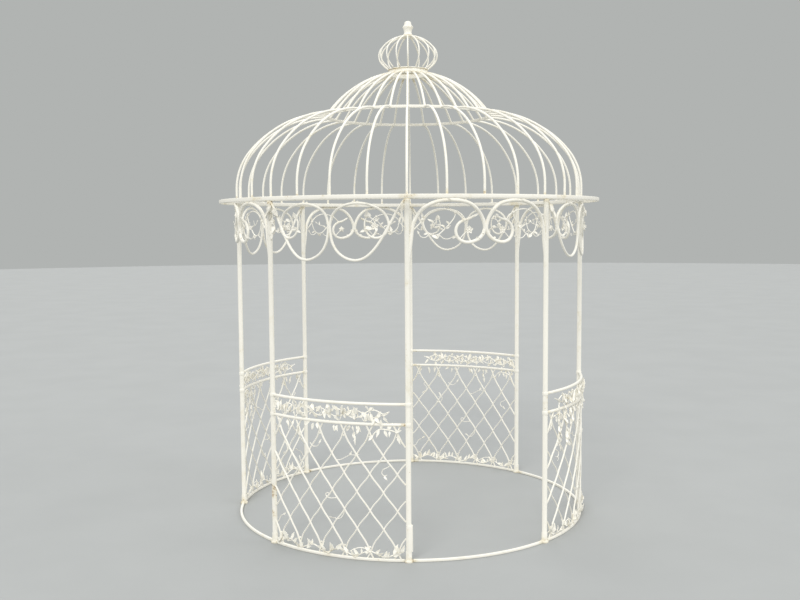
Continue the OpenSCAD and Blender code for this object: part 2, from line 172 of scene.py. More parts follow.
BOW = [(LEG + 0.017, 1.600), (LEG + 0.014, 1.652), (LEG + 0.007, 1.705), (LEG + 0.001, 1.752),
    (LEG - 0.003, 1.792), (0.389, 1.838), (0.366, 1.884), (0.336, 1.918), (0.292, 1.943), (0.245, 1.956),
    (0.195, 1.9592), (0.140, 1.955), (0.088, 1.940), (0.048, 1.908), (0.022, 1.870), (0.008, 1.835),
    (0.005, 1.806), (0.018, 1.774), (0.050, 1.746), (0.105, 1.733), (0.150, 1.749), (0.170, 1.790),
    (0.158, 1.830), (0.126, 1.851), (0.096, 1.860), (0.072, 1.872)]
INNER = [(LEG - 0.006, 1.796), (0.353, 1.842), (0.333, 1.873), (0.299, 1.900), (0.256, 1.912),
    (0.213, 1.908), (0.169, 1.892), (0.141, 1.870), (0.128, 1.851)]
LOOP = [(0.345, 1.856), (0.338, 1.825), (0.325, 1.794), (0.297, 1.772), (0.262, 1.778), (0.235, 1.801),
    (0.202, 1.835), (0.178, 1.868), (0.172, 1.893)]
ARM = [(0.406, 1.957), (0.372, 1.905), (0.345, 1.852), (0.312, 1.792), (0.282, 1.740), (0.246, 1.692),
    (0.204, 1.656), (0.160, 1.641), (0.118, 1.645), (0.075, 1.664), (0.040, 1.696), (0.017, 1.740),
    (0.007, 1.790), (0.004, 1.834)]
OVAL = [(0.004, 1.826), (0.016, 1.874), (0.040, 1.906), (0.075, 1.928), (0.118, 1.942), (0.165, 1.946),
    (0.211, 1.941), (0.261, 1.924), (0.303, 1.895), (0.324, 1.860), (0.330, 1.829), (0.322, 1.798),
    (0.298, 1.770), (0.263, 1.760), (0.228, 1.773), (0.207, 1.805), (0.203, 1.841), (0.211, 1.870)]
DOORWAY_TWIGS = ([(0.262, 1.778), (0.240, 1.757), (0.214, 1.752), (0.196, 1.760)],
    [(0.310, 1.780), (0.330, 1.762), (0.352, 1.764), (0.362, 1.778)],
    [(0.228, 1.808), (0.252, 1.826), (0.278, 1.832), (0.300, 1.846)])
DOORWAY_STALK = [(0.150, 1.750), (0.132, 1.772), (0.112, 1.790), (0.098, 1.800)]
PANEL_TWIGS = ([(0.404, 1.950), (0.396, 1.905), (0.392, 1.865), (0.378, 1.828)],
    [(0.396, 1.905), (0.402, 1.870), (0.398, 1.835), (0.402, 1.800)],
    [(0.211, 1.870), (0.236, 1.868), (0.256, 1.850), (0.262, 1.825)],
    [(0.322, 1.798), (0.345, 1.790), (0.366, 1.800), (0.380, 1.822)])

# Leaves on a bay, as x, z, heading in degrees and, where they differ, size
BAND_END_LEAVES = ((0.262, 0.790, 60), (0.285, 0.806, 20), (0.248, 0.785, -110), (0.296, 0.800, -50))
UNDER_RAIL_LEAVES = ((-0.364, 0.744, -75), (-0.350, 0.742, -105), (-0.301, 0.740, -60),
    (-0.290, 0.725, -85), (-0.249, 0.742, -95), (-0.221, 0.722, -85), (-0.228, 0.700, -65),
    (-0.138, 0.746, -145), (-0.116, 0.742, -100), (-0.093, 0.744, -65), (0.018, 0.744, -80),
    (0.040, 0.742, -115), (0.030, 0.738, -60), (0.112, 0.746, -125), (0.128, 0.744, -80),
    (0.146, 0.744, -50), (0.162, 0.744, -100), (0.136, 0.712, -100), (0.126, 0.700, -60),
    (0.140, 0.676, -85), (0.275, 0.728, -110), (0.287, 0.732, 95), (0.300, 0.726, -65), (0.316, 0.727, 55),
    (0.330, 0.722, -95), (0.352, 0.716, 20), (0.240, 0.696, -130), (0.370, 0.690, -70))
CURL_LEAVES = ((0.134, 0.582, 10), (0.106, 0.578, 60), (-0.204, 0.520, 120), (0.296, 0.474, -40),
    (-0.346, 0.182, 35), (-0.078, 0.628, 60), (-0.322, 0.552, 215), (0.012, 0.222, 160))
DOORWAY_LEAVES = [(0.300, 1.773, -150, 1.0), (0.262, 1.778, -60, 0.9), (0.228, 1.808, 150, 0.95),
    (0.074, 1.871, 150, 0.85), (0.318, 1.785, -20, 0.7), (0.196, 1.760, 170, 0.8), (0.300, 1.846, 30, 0.75),
    (0.278, 1.832, 95, 0.7), (0.252, 1.826, 200, 0.7), (0.345, 1.862, 80, 0.8), (0.205, 1.832, 40, 0.7),
    (0.362, 1.778, 60, 0.65), (0.060, 1.760, 200, 0.7), (0.020, 1.800, -80, 0.6)]
PANEL_LEAVES = [(0.211, 1.868, 70, 0.95), (0.205, 1.815, -10, 1.0), (0.398, 1.944, -95, 1.2),
    (0.256, 1.850, 30, 0.85), (0.262, 1.825, -70, 0.9), (0.236, 1.868, 110, 0.7), (0.207, 1.800, 200, 0.7),
    (0.345, 1.790, 100, 0.7)]
CORNER_LEAVES = [(0.398, 1.944, -80, 1.6), (0.386, 1.925, -125, 1.4), (0.400, 1.900, -70, 1.2),
    (0.392, 1.868, -120, 1.2), (0.378, 1.828, -100, 1.1), (0.402, 1.800, -85, 1.1),
    (0.366, 1.800, -40, 0.9), (0.380, 1.880, 170, 0.9), (0.372, 1.905, -150, 1.1)]
DOORWAY_FLOWER = (0.098, 1.800, 1.0)
PANEL_FLOWER = (0.262, 1.822, 1.0)
CORNER_FLOWER = (0.386, 1.852, 0.9)


def both_sides(points):
    return [(s * x, z) for s in (-1, 1) for x, z in points]


DOORWAY_WELDS = [(0, 1.820), (0, 1.806)] + both_sides(
    [(0.195, 1.9592), (0.410, 1.772), (0.128, 1.853), (0.172, 1.893), (0.345, 1.856)])
PANEL_WELDS = [(0, 1.826), (0, 1.812)] + both_sides(
    [(0.405, 1.955), (0.165, 1.951), (0.329, 1.826), (0.140, 1.951)])
RIB_WELDS = [(HOOP_R, HOOP_Z - 0.002), (HOOP_R - 0.002, HOOP_Z + 0.004)]

# The paint's noise, as scale, detail and roughness, and its colours beside those in the settings
WIDE = (3.2, 3.0, 0.55)
BLOTCH = (17.0, 6.0, 0.62)
SPECK = (95.0, 5.0, 0.65)
GRAIN = (420.0, 3.0, 0.5)
HALO_COLOUR = (0.46, 0.33, 0.16, 1)
DUST_COLOUR = (0.55, 0.50, 0.40, 1)
BUMP_STRENGTH = 0.45
BUMP_HEIGHT = 0.0009

# Studio: lamps as place, angle in degrees and strength, and the camera as fitted to the photo
LAMPS = {
    "soft_key": ((-4.5, -5.5, 6.0), 24, 1.52),
    "soft_fill": ((6.0, -3.5, 3.6), 40, 0.80),
    "soft_back": ((1.5, 6.5, 5.5), 40, 0.62),
}
SKY_COLOUR = (0.97, 0.98, 1.0, 1)
SKY_STRENGTH = 0.88
BACKGROUND = (0.44, 0.455, 0.445, 1)
FOCAL_PX = 946.55
PHOTO_WIDTH_PX = 800
SENSOR_MM = 36
STAND = 6.1233
EYE = 1.8256
YAW, PITCH, ROLL = math.radians(-0.5666), math.radians(4.5027), math.radians(-0.3714)
CAMERA_TURN = math.radians(22.5 - 0.1605 - 0.35)


class GazeboIronwork(bpy.types.PropertyGroup):
    thick_rod: FloatProperty(
        name="Thick Rod", description="Radius of the heavier lattice rods",
        default=0.0050, min=0.002, max=0.010, unit='LENGTH')
    thin_rod: FloatProperty(
        name="Thin Rod", description="Radius of the lighter lattice rods",
        default=0.0042, min=0.001, max=0.008, unit='LENGTH')
    scroll_bar: FloatProperty(
        name="Scroll Bar", description="Radius of the bent bars under the ring",
        default=0.0074, min=0.003, max=0.012, unit='LENGTH')
    doorway_bar: FloatProperty(
        name="Doorway Bar", description="Radius of the heavier bars over the doorways",
        default=0.0103, min=0.003, max=0.016, unit='LENGTH')
    tendril: FloatProperty(
        name="Tendril", description="Radius of the thin tendrils and stems",
        default=0.0032, min=0.001, max=0.006, unit='LENGTH')
    rib: FloatProperty(
        name="Rib", description="Radius of the dome's ribs",
        default=0.0070, min=0.004, max=0.012, unit='LENGTH')
    cage_bar: FloatProperty(
        name="Onion Cage Bar", description="Radius of the bars of the onion cage",
        default=0.0045, min=0.002, max=0.008, unit='LENGTH')
    leaf_length: FloatProperty(
        name="Leaf Length", description="Length of a leaf on the vines",
        default=0.046, min=0.02, max=0.08, unit='LENGTH')
    leaf_width: FloatProperty(
        name="Leaf Width", description="Width of a leaf on the vines",
        default=0.027, min=0.01, max=0.05, unit='LENGTH')
    leaf_sheet: FloatProperty(
        name="Leaf Thickness", description="Thickness of the pressed leaves",
        default=0.0014, min=0.0005, max=0.004, unit='LENGTH')
    vine_leaves: IntProperty(
        name="Vine Leaves", description="Leaves between the two rails of a panel",
        default=62, min=0, max=120)


class GazeboFinish(bpy.types.PropertyGroup):
    paint: FloatVectorProperty(
        name="Paint", description="Colour of the clean cream paint",
        subtype='COLOR', size=4, min=0, max=1, default=(0.895, 0.868, 0.775, 1))
    aged: FloatVectorProperty(
        name="Aged Paint", description="Colour of the yellowed paint",
        subtype='COLOR', size=4, min=0, max=1, default=(0.76, 0.70, 0.53, 1))
    rust: FloatVectorProperty(
        name="Rust", description="Colour of the rust at joints and chips",
        subtype='COLOR', size=4, min=0, max=1, default=(0.20, 0.085, 0.03, 1))
    wear: FloatProperty(
        name="Wear", description="How much of the paint has stained and rusted",
        default=0.3, min=0, max=1, subtype='FACTOR')
    roughness: FloatProperty(
        name="Roughness", description="Roughness of the clean paint",
        default=0.42, min=0, max=1, subtype='FACTOR')
    floor: FloatVectorProperty(
        name="Floor", description="Colour of the studio floor",
        subtype='COLOR', size=4, min=0, max=1, default=(0.36, 0.37, 0.36, 1))


# Small helpers for work in the 3D view

def nothing_selected():
    if bpy.context.object and bpy.context.object.mode != 'OBJECT':
        bpy.ops.object.mode_set(mode='OBJECT')
    bpy.ops.object.select_all(action='DESELECT')


def work_on(piece):
    nothing_selected()
    piece.select_set(True)
    bpy.context.view_layer.objects.active = piece


def edit(piece):
    work_on(piece)
    bpy.ops.object.mode_set(mode='EDIT')
    bpy.ops.mesh.select_all(action='SELECT')


def leave_edit():
    bpy.ops.object.mode_set(mode='OBJECT')


def outward(piece, merge=0.00001):
    edit(piece)
    bpy.ops.mesh.remove_doubles(threshold=merge)
    bpy.ops.mesh.normals_make_consistent(inside=False)
    leave_edit()


def smooth_shaded(piece, angle=40):
    work_on(piece)
    bpy.ops.object.shade_smooth_by_angle(angle=math.radians(angle))


def joined(pieces):
    nothing_selected()
    for piece in pieces:
        piece.select_set(True)
    bpy.context.view_layer.objects.active = pieces[0]
    if len(pieces) > 1:
        bpy.ops.object.join()
    return bpy.context.object


def settle(piece):
    """Puts the place of a piece in its mesh and leaves its object at the origin."""
    piece.data.transform(piece.matrix_world)
    piece.matrix_world = Matrix.Identity(4)


def finish_piece(name, parts, slot, finish=None, stands_in=True):
    """Joins parts and paints them. They stand in for the solid of that name, unless they are trim."""
    piece = joined(parts)
    piece.name = "iron_" + name
    piece.data.name = piece.name
    settle(piece)
    piece.data.materials.clear()
    piece.data.materials.append(bpy.data.materials[(finish or slot) + "_finish"])
    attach(piece, "root")
    if stands_in:
        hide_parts(name)


def moved_copy(piece, place):
    """A copy of a piece whose mesh is moved by a matrix."""
    copy = piece.copy()
    copy.data = piece.data.copy()
    copy.data.transform(place)
    bpy.context.collection.objects.link(copy)
    return copy


def stood_at(place, right, up, out):
    """The matrix that stands a piece at a place, along three axes."""
    stand = Matrix((right, up, out)).transposed().to_4x4()
    stand.translation = place
    return stand


# Bars bent along a path

TAPER_FROM = 0.7


def smooth_path(points, steps):
    """A smooth path through points, with steps between neighbours."""
    points = [Vector(point) for point in points]
    path = []
    for i in range(len(points) - 1):
        a, b = points[max(i - 1, 0)], points[i]
        c, d = points[i + 1], points[min(i + 2, len(points) - 1)]
        for k in range(steps):
            t = k / steps
            path.append(0.5 * (2 * b + (c - a) * t + (2 * a - 5 * b + 4 * c - d) * t * t
                               + (3 * b - 3 * c + d - a) * t ** 3))
    path.append(points[-1])
    return path


def bars(strokes, sides, closed=False):
    """Round bars along paths. A stroke is a path and its radius, or two radii that blend near its end."""
    bpy.ops.curve.primitive_nurbs_path_add(location=(0, 0, 0))
    piece = bpy.context.object
    wire = piece.data
    wire.splines.clear()
    wire.dimensions = '3D'
    wire.bevel_depth = 1.0
    wire.bevel_resolution = sides
    wire.use_fill_caps = not closed
    for path, radius in strokes:
        first_r, end_r = radius if isinstance(radius, tuple) else (radius, radius)
        last = len(path) - 1
        spline = wire.splines.new('POLY')
        spline.points.add(last)
        spline.use_cyclic_u = closed
        for i, (point, place) in enumerate(zip(spline.points, path)):
            t = max(0, (i / last - TAPER_FROM) / (1 - TAPER_FROM))
            point.co = (*place, 1)
            point.radius = first_r + (end_r - first_r) * t
    work_on(piece)
    bpy.ops.object.convert(target='MESH')
    piece = bpy.context.object
    outward(piece, 0.000001)
    smooth_shaded(piece)
    return piece


def knobs(places, radius, flat=1.0):
    """Small round weld beads or ball ends."""
    bpy.ops.mesh.primitive_uv_sphere_add(segments=10, ring_count=6, radius=radius)
    bead = bpy.context.object
    edit(bead)
    bpy.ops.transform.resize(value=(1, 1, flat), center_override=(0, 0, 0))
    leave_edit()
    bpy.ops.object.shade_smooth()
    copies = [moved_copy(bead, Matrix.Translation(place)) for place in places]
    bpy.data.objects.remove(bead)
    return joined(copies)


def band(r_in, r_out, low, high, corner, steps, start=0.0, turn=math.tau):
    """A flat bar with rounded corners, spun around the axis."""
    bpy.ops.mesh.primitive_plane_add(size=1, location=(0, 0, 0))
    piece = bpy.context.object
    edit(piece)
    bpy.ops.transform.resize(value=(r_out - r_in, high - low, 1), center_override=(0, 0, 0))
    bpy.ops.mesh.bevel(affect='VERTICES', offset=corner, segments=3)
    bpy.ops.mesh.select_all(action='SELECT')
    bpy.ops.mesh.delete(type='ONLY_FACE')
    leave_edit()
    piece.data.transform(Matrix.Translation(((r_in + r_out) / 2, 0, (low + high) / 2))
                         @ Matrix.Rotation(math.pi / 2, 4, 'X'))
    edit(piece)
    bpy.ops.mesh.spin(steps=steps, angle=turn, center=(0, 0, 0), axis=(0, 0, 1))
    if turn < math.tau:
        bpy.ops.mesh.select_all(action='SELECT')
        bpy.ops.mesh.fill_holes(sides=0)
    outward(piece, 0.00002)
    # The spin runs clockwise, so the band begins where it ended
    piece.data.transform(Matrix.Rotation(start + turn, 4, 'Z'))
    smooth_shaded(piece)
    return piece


def bay_band(r, half, low, high, corner, clear, turn):
    """One bay's stretch of a band, whose ends stay clear of the middle of its neighbours."""
    gap = math.asin(clear / r)
    start = math.radians(turn) - math.pi / 2 - HALF_BAY + gap
    turn = 2 * (HALF_BAY - gap)
    return band(r - half, r + half, low, high, corner, ROUND_STEPS // 8, start, turn)


def turned(profile, at=(0, 0), sides=32):
    """A round piece turned from a profile of radius and height, from the bottom up."""
    r, z = profile[0]
    bpy.ops.mesh.primitive_circle_add(vertices=sides, radius=r, fill_type='NGON', location=(*at, z))
    piece = bpy.context.object
    edit(piece)
    for r_next, z_next in profile[1:]:
        bpy.ops.mesh.extrude_region_move(TRANSFORM_OT_translate={"value": (0, 0, z_next - z)})
        bpy.ops.transform.resize(value=(r_next / r, r_next / r, 1), center_override=(*at, z_next))
        r, z = r_next, z_next
    outward(piece)
    smooth_shaded(piece, 35)
    return piece


# Drawings on a bay: x across and z up, bent to the post circle

def on_bay(x, z, turn, depth=0.0, mirror=False):
    """A drawing's point in space. depth is how far outside the post circle it is."""
    x = -x if mirror else x
    r = POST_CIRCLE + depth
    y = -math.sqrt(max(r * r - x * x, 0.0))
    a = math.radians(turn)
    return Vector((x * math.cos(a) - y * math.sin(a), x * math.sin(a) + y * math.cos(a), z))


def bay_path(points, turn, depth, mirror, steps=6):
    return [on_bay(p.x, p.y, turn, depth, mirror) for p in smooth_path([(*p, 0) for p in points], steps)]


def bent(paths, radius, turn, depth=0.0, mirror=False, steps=6):
    """Strokes for bars, from drawn paths. One step keeps a path's own points."""
    return [(bay_path(path, turn, depth, mirror, steps), radius) for path in paths]


def leaf_master(length, width, sheet, waves, lobes=0.0):
    """A pressed leaf from the origin along +X, folded along its midrib."""
    bpy.ops.mesh.primitive_grid_add(x_subdivisions=8, y_subdivisions=4, size=1)
    leaf = bpy.context.object
    for v in leaf.data.vertices:
        t, s = v.co.x + 0.5, v.co.y * 2
        half = width / 2 * math.sin(math.pi * t ** 0.75) ** 0.8 if 0 < t < 1 else 0
        half *= 1 + lobes * math.cos(t * 6 * math.pi)
        v.co.x = t * length
        v.co.y = s * half
        v.co.z = (abs(s) ** 1.3 * half * 0.45 - length * 0.16 * (t - 0.35) ** 2
                  + width * waves * math.sin(t * 9 + s) * abs(s))
    edit(leaf)
    bpy.ops.mesh.remove_doubles(threshold=0.0002)
    leave_edit()
    thick = leaf.modifiers.new("sheet", 'SOLIDIFY')
    thick.thickness = sheet
    thick.offset = 0
    bpy.ops.object.modifier_apply(modifier="sheet")
    outward(leaf)
    bpy.ops.object.shade_smooth()
    return leaf


def vine_leaf(iron, long, wide, waves, lobes):
    """A pressed leaf that is a share of the size in the settings."""
    return leaf_master(iron.leaf_length * long, iron.leaf_width * wide, iron.leaf_sheet, waves, lobes)


def leaves(master, spots, turn, depth, mirror, seed):
    """Copies of a leaf on a bay. A spot is x, z, direction in degrees and size."""
    rng = random.Random(seed)
    copies = []
    for x, z, heading, size in spots:
        base = on_bay(x, z, turn, depth, mirror)
        ahead = on_bay(x + 0.004, z, turn, depth, mirror)
        along = (ahead - base).normalized()
        out = Vector((base.x, base.y, 0)).normalized()
        a = math.radians(heading)
        axis = (along * math.cos(a) + Vector((0, 0, 1)) * math.sin(a)).normalized()
        side = out.cross(axis).normalized()
        roll = Matrix.Rotation(rng.uniform(-0.6, 0.6), 4, 'X')
        lift = Matrix.Rotation(-rng.uniform(-0.15, 0.5), 4, 'Y')
        scale = Matrix.Scale(size * rng.uniform(0.88, 1.12), 4)
        copies.append(moved_copy(master, stood_at(base, axis, side, out) @ lift @ roll @ scale))
    return joined(copies)


def flower(petal, spot, turn, depth, mirror):
    """A small five-petalled flower with a bead in the middle. A spot is x, z and size."""
    x, z, size = spot
    base = on_bay(x, z, turn, depth, mirror)
    out = Vector((base.x, base.y, 0)).normalized()
    stand = stood_at(base, Vector((-out.y, out.x, 0)), Vector((0, 0, 1)), out)
    cup = Matrix.Rotation(-0.35, 4, 'Y') @ Matrix.Scale(size, 4)
    turns = [Matrix.Rotation(math.tau * k / 5 + 0.3, 4, 'Z') for k in range(5)]
    parts = [moved_copy(petal, stand @ turn @ cup) for turn in turns]
    parts.append(knobs([base + out * 0.003], 0.006 * size))
    return joined(parts)


# Finish

# Sockets of a Mix node that blends colours
FACTOR, COLOUR_A, COLOUR_B, BLENDED = 0, 6, 7, 2


def add_node(tree, kind, inputs, **settings):
    """A new shader node. An input is a value or the output of another node."""
    node = tree.nodes.new("ShaderNode" + kind)
    for name, value in settings.items():
        setattr(node, name, value)
    for name, value in inputs.items():
        if isinstance(value, bpy.types.NodeSocket):
            tree.links.new(value, node.inputs[name])
        else:
            node.inputs[name].default_value = value
    return node


def maths(tree, operation, *values):
    return add_node(tree, "Math", dict(enumerate(values)), operation=operation).outputs[0]


def weighed(tree, *terms):
    """The sum of values, each times its weight."""
    total = None
    for value, weight in terms:
        term = maths(tree, 'MULTIPLY', value, weight)
        total = term if total is None else maths(tree, 'ADD', total, term)
    return total


def spread(tree, value, low, high, to_low=0.0, to_high=1.0):
    """A value's smooth way from low to high, as a share from to_low to to_high."""
    inputs = {"Value": value, "From Min": low, "From Max": high, "To Min": to_low, "To Max": to_high}
    return add_node(tree, "MapRange", inputs, interpolation_type='SMOOTHSTEP').outputs["Result"]


def cloud(tree, place, scale, detail, rough=0.55):
    inputs = {"Vector": place, "Scale": scale, "Detail": detail, "Roughness": rough}
    return add_node(tree, "TexNoise", inputs).outputs["Fac"]


def blend_colour(tree, share, first, second):
    inputs = {FACTOR: share, COLOUR_A: first, COLOUR_B: second}
    return add_node(tree, "Mix", inputs, data_type='RGBA').outputs[BLENDED]


def weathered_paint(name, finish, joints, tint, extra, at_posts):
    """Cream paint that has yellowed, with rust near the heights in joints, or near the posts there. On one
    post a wide low height paints bounce light from a lawn instead, and a tint above one paints light on the
    leaves.
    """
    material = bpy.data.materials.new(name)
    material.use_nodes = True
    tree = material.node_tree
    tree.nodes.clear()
    place = add_node(tree, "TexCoord", {}).outputs["Object"]
    split = add_node(tree, "SeparateXYZ", {0: place})
    near = None
    for level, reach in joints:
        gap = maths(tree, 'ABSOLUTE', maths(tree, 'SUBTRACT', split.outputs["Z"], level))
        mask = spread(tree, gap, 0.0, reach, 1.0, 0.0)
        near = mask if near is None else maths(tree, 'MAXIMUM', near, mask)
    if at_posts:
        bearing = maths(tree, 'ARCTAN2', split.outputs["Y"], split.outputs["X"])
        aside = maths(tree, 'SUBTRACT', HALF_BAY, maths(tree, 'PINGPONG', bearing, HALF_BAY))
        near = maths(tree, 'MULTIPLY', near, spread(tree, aside, 0.015, 0.075, 1.0, 0.0))
    wide, blotch, speck, grain = [cloud(tree, place, *noise) for noise in (WIDE, BLOTCH, SPECK, GRAIN)]

    wear = finish.wear
    # The stain share is real staining, and on one post also painted bounce light from its wide low height
    stain_and_bounce_light = weighed(tree, (blotch, 0.75), (wide, 0.45), (near, 0.20))
    yellow = spread(tree, stain_and_bounce_light, 0.66 - 0.12 * wear - extra, 0.98 - 0.20 * wear - extra)
    chip = weighed(tree, (blotch, 0.55), (speck, 0.55), (near, 0.10))
    worn = 0.06 * wear + extra
    rust = spread(tree, chip, 0.765 - worn, 0.83 - worn)
    halo = spread(tree, chip, 0.68 - worn, 0.80 - worn, 0.0, 0.75)
    dust = spread(tree, grain, 0.35, 0.7, 0.0, 0.14)
    colour = tuple(c * tint for c in finish.paint[:3]) + (1,)
    for share, layer in ((yellow, tuple(finish.aged)), (halo, HALO_COLOUR), (rust, tuple(finish.rust)),
                         (dust, DUST_COLOUR)):
        colour = blend_colour(tree, share, colour, layer)
    rough = maths(tree, 'ADD', finish.roughness, weighed(tree, (rust, 0.4), (yellow, 0.15)))
    rough = maths(tree, 'MINIMUM', rough, 0.92)
    relief = weighed(tree, (speck, 0.7), (grain, 0.25), (rust, -0.35))
    bump = add_node(tree, "Bump", {"Strength": BUMP_STRENGTH, "Distance": BUMP_HEIGHT, "Height": relief})
    coat = {"Base Color": colour, "Roughness": rough, "Normal": bump.outputs[0]}
    add_node(tree, "OutputMaterial", {"Surface": add_node(tree, "BsdfPrincipled", coat).outputs[0]})


class GAZEBO_OT_paint(bpy.types.Operator):
    """Mixes the weathered cream paint of each slot and puts it on the frame's parts"""
    bl_idname = "gazebo.paint"
    bl_label = "Weathered Paint"

    def execute(self, context):
        head, foot = (POST_TOP, 0.035), (0.0, 0.05)
        rails = [(RAIL_Z, 0.03), (LOW_RAIL_Z, 0.03), (0.0, 0.04)]
        for name, joints, tint, extra, at_posts in (
                ("post_paint", [head, foot], 1.0, 0.0, False),
                # Painted bounce light from a lawn: a copy of the post paint, a little darker all over and
                # yellowed around the lower post
                ("bounce_lit_post", [head, foot, (0.20, 0.50)], 0.96, -0.01, False),
                ("panel_paint", rails, 0.98, 0.0, True),
                # Painted light: a brighter, less stained copy of the paint for the leaves, against the
                # shade between them
                ("lit_leaf_paint", [(0.0, 0.04)], 1.06, -0.04, False),
                ("scroll_paint", [(POST_TOP, 0.06)], 0.98, 0.0, True),
                ("ring_paint", [(POST_TOP + 0.012, 0.03)], 0.98, 0.005, True),
                ("dome_paint", [(RING_TOP, 0.04), (COLLAR_LOW, 0.03)], 1.0, 0.0, False),
                ("crown_paint", [(COLLAR_TOP, 0.02), (CAGE_TOP, 0.02)], 1.0, 0.0, False)):
            weathered_paint(name + "_finish", context.scene.gazebo_finish, joints, tint, extra, at_posts)
        slots = {s["node"]: s["material_slot"] for s in frame["record"]["subparts"]}
        for node, piece in frame["nodes"].items():
            piece.data.materials.clear()
            piece.data.materials.append(bpy.data.materials[slots[node] + "_finish"])
        return {'FINISHED'}


class GAZEBO_OT_posts(bpy.types.Operator):
    """Turns the eight posts with their foot sleeves, rail clamps and heads"""
    bl_idname = "gazebo.posts"
    bl_label = "Posts"

    def execute(self, context):
        for place, turn in POSTS.items():
            a = math.radians(turn)
            at = (POST_CIRCLE * math.sin(a), -POST_CIRCLE * math.cos(a))
            parts = [turned(POST_PROFILE, at)]
            for level in (RAIL_Z, LOW_RAIL_Z):
                parts.append(turned([(r, level + z) for r, z in CLAMP_PROFILE], at))
            parts.append(knobs([Vector((at[0] * SCREW_OUT, at[1] * SCREW_OUT, SCREW_Z))], SCREW_R))
            if place == "front_left":
                beside = (at[0] + SPLICE_ASIDE[0], at[1] + SPLICE_ASIDE[1])
                parts.append(turned(SPLICE_PROFILE, beside))
            # The left front post gets the paint with painted bounce light, yellowed and darker towards the
            # bottom
            finish = "bounce_lit_post" if place == "left_front" else None
            finish_piece("post_" + place, parts, "post_paint", finish)
        return {'FINISHED'}


HALVINGS = 14


def inside_panel(path, low, high, side):
    """The stretches of a path that lie in a panel, with their ends on its edges."""
    def within(p):
        return abs(p[0]) <= side and low <= p[1] <= high

    runs, run = [], []
    for a, b in zip(path, path[1:]):
        if within(a):
            run.append(a)
        if within(a) != within(b):
            p, q = (a, b) if within(a) else (b, a)
            for _ in range(HALVINGS):
                m = ((p[0] + q[0]) / 2, (p[1] + q[1]) / 2)
                p, q = (m, q) if within(m) else (p, m)
            run.append(p)
        if not within(b) and run:
            runs.append(run)
            run = []
    if within(path[-1]):
        run.append(path[-1])
    return [r for r in runs + [run] if len(r) > 1]


def rod_lean(v):
    """How far across a rod is at a height from the middle. Rods steepen toward both ends."""
    return v * ROD_PITCH / DIAMOND_H - math.copysign(max(0, abs(v) - 0.2) ** 2, v)


def rod_paths(lean, jog):
    """Paths of the lattice rods that lean to one side, with a jog at each crossing."""
    paths = []
    for i in range(-4, 5):
        path = []
        for k in range(-ROD_STEPS, ROD_STEPS + 1):
            v = k * ROD_STEP
            across = rod_lean(v) - jog * math.sin(math.tau * 2 * v / DIAMOND_H)
            path.append((i * ROD_PITCH + lean * across, LATTICE_MID + v))
        paths += inside_panel(path, GROUND_BAR / 2, LOW_RAIL_Z, HALF_SPAN - POST_R)
    return paths


def ground_bar(turn):
    return bay_band(POST_CIRCLE, GROUND_BAR / 2, 0.0, GROUND_BAR, BAR_CORNER, POST_CLEAR, turn)


class GAZEBO_OT_panels(bpy.types.Operator):
    """Bends the rails and rods of the four lattice panels and the ground bar"""
    bl_idname = "gazebo.panels"
    bl_label = "Lattice Panels"

    def execute(self, context):
        iron = context.scene.gazebo_ironwork
        side = HALF_SPAN - POST_R + 0.002
        rails = [[(side * k / 24, level) for k in range(-24, 25)] for level in (RAIL_Z, LOW_RAIL_Z)]
        for place, turn in PANELS.items():
            mirror = place.endswith("right")
            thick = bent(rod_paths(-1, THICK_JOG), iron.thick_rod, turn, THICK_LAYER, mirror, 1)
            thin = bent(rod_paths(1, THIN_JOG), iron.thin_rod, turn, THIN_LAYER, mirror, 1)
            parts = [bars(bent(rails, RAIL_TUBE_R, turn, steps=1), 4), bars(thick, 2), bars(thin, 1)]
            welds = []
            for i in range(-8, 9):
                for j in range(-4, 5):
                    x, z = i * ROD_PITCH / 2, LATTICE_MID + (j * 2 + i % 2) * DIAMOND_H / 2
                    if abs(x) < HALF_SPAN - WELD_MARGIN and 0.05 < z < LOW_RAIL_Z - WELD_MARGIN:
                        welds.append(on_bay(x, z, turn, WELD_LAYER, mirror))
            parts.append(knobs(welds, ROD_WELD_R))
            parts.append(bars(bent(CURLS, TWIG_R, turn, CURL_LAYER, mirror), 1))
            parts.append(ground_bar(turn))
            finish_piece("lattice_" + place, parts, "panel_paint")
        for place, turn in DOORWAYS.items():
            finish_piece("sill_" + place, [ground_bar(turn)], "panel_paint")
        return {'FINISHED'}


def vine_height(x):
    """Height of the first stem between the rails."""
    return (RAIL_Z + LOW_RAIL_Z) / 2 + 0.023 * math.sin(math.radians(x * 1700 + 40))


def second_height(x):
    """Height of the second stem there, which swings the other way."""
    return RAIL_Z + LOW_RAIL_Z - 0.001 - vine_height(x) + 0.004 * math.sin(x * 31)


def border_height(x):
    """Height of the stem along the ground bar."""
    return 0.038 + 0.015 * math.sin(math.radians(x * 2100))


def stem(start, end, height):
    """A stem's points, from start to end in millimetres."""
    return [(x / 1000, height(x / 1000)) for x in range(start, end, 12)]


